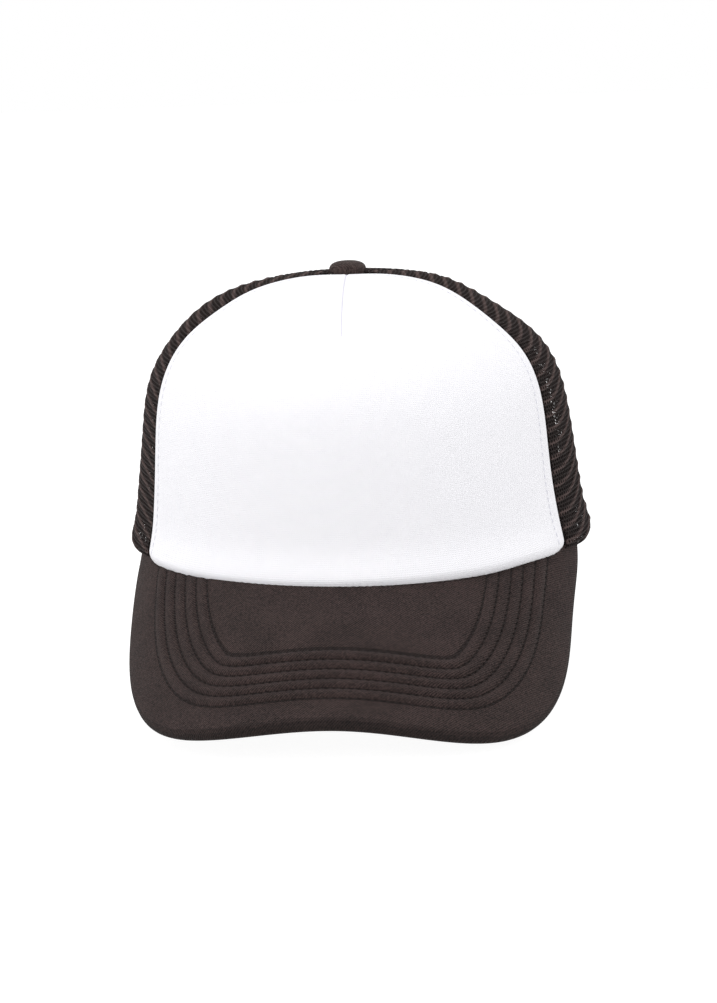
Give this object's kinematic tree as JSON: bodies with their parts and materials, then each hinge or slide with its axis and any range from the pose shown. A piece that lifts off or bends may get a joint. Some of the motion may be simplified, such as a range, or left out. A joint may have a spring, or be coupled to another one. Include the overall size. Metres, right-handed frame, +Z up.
{
  "type": "trucker cap",
  "caption": "Foam-front mesh cap with a stitched curved visor, cloth-covered top button, sweatband and a two-piece plastic snap strap across a rear arch opening.",
  "frame": {"origin": "centre of the head opening, in the plane of the hem", "axes": "+Z up the head to the button, -Y forward over the visor, +X the wearer's left"},
  "size_m": [0.18, 0.25, 0.1595],
  "materials": {
    "white_cloth": "fine white knit bonded to foam, matt",
    "white_foam": "open white polyurethane foam",
    "dark_foam": "open charcoal polyurethane foam",
    "dark_mesh": "openwork nylon mesh, brown-black, slightly glossy threads",
    "dark_tape": "woven cotton tape, matt",
    "sweatband_cloth": "brushed knit, matt",
    "label_cloth": "plain satin label, blank",
    "button_metal": "plain stamped metal",
    "board_plastic": "moulded sheet",
    "visor_cloth": "fine brown-black twill knit, matt with a soft sheen",
    "strap_plastic": "moulded, satin"
  },
  "bodies": {
    "crown": {"front_panel_cloth": "white_cloth", "front_panel_foam": "white_foam", "side_mesh_left": "dark_mesh", "side_mesh_right": "dark_mesh", "back_mesh_left": "dark_mesh", "back_mesh_right": "dark_mesh", "front_seam_tape_left": "dark_tape", "front_seam_tape_right": "dark_tape", "side_seam_tape_left": "dark_tape", "side_seam_tape_right": "dark_tape", "back_seam_tape": "dark_tape", "dart_tape": "dark_tape", "arch_binding": "dark_tape", "sweatband_foam": "dark_foam", "sweatband_cloth": "sweatband_cloth", "care_label": "label_cloth", "button_cover": "visor_cloth", "button_shell": "button_metal", "button_back": "button_metal", "visor_board": "board_plastic", "visor_foam": "white_foam", "visor_top_cover": "visor_cloth", "visor_under_cover": "visor_cloth", "hole_strap_tab": "strap_plastic"},
    "hole_strap": {"hole_strap": "strap_plastic"},
    "peg_strap": {"peg_strap": "strap_plastic"}
  },
  "joints": [
    {"name": "strap_unsnap", "type": "hinge", "parent": "crown", "child": "hole_strap", "pos_m": [0.04744, 0.07725, 0.0125], "axis": [0, 0, -1], "range_deg": [0, 60]},
    {"name": "size_adjust", "type": "hinge", "parent": "crown", "child": "peg_strap", "pos_m": [0, 0.01, 0.0125], "axis": [0, 0, -1], "range_deg": [-20.1, 20.1]}
  ]
}
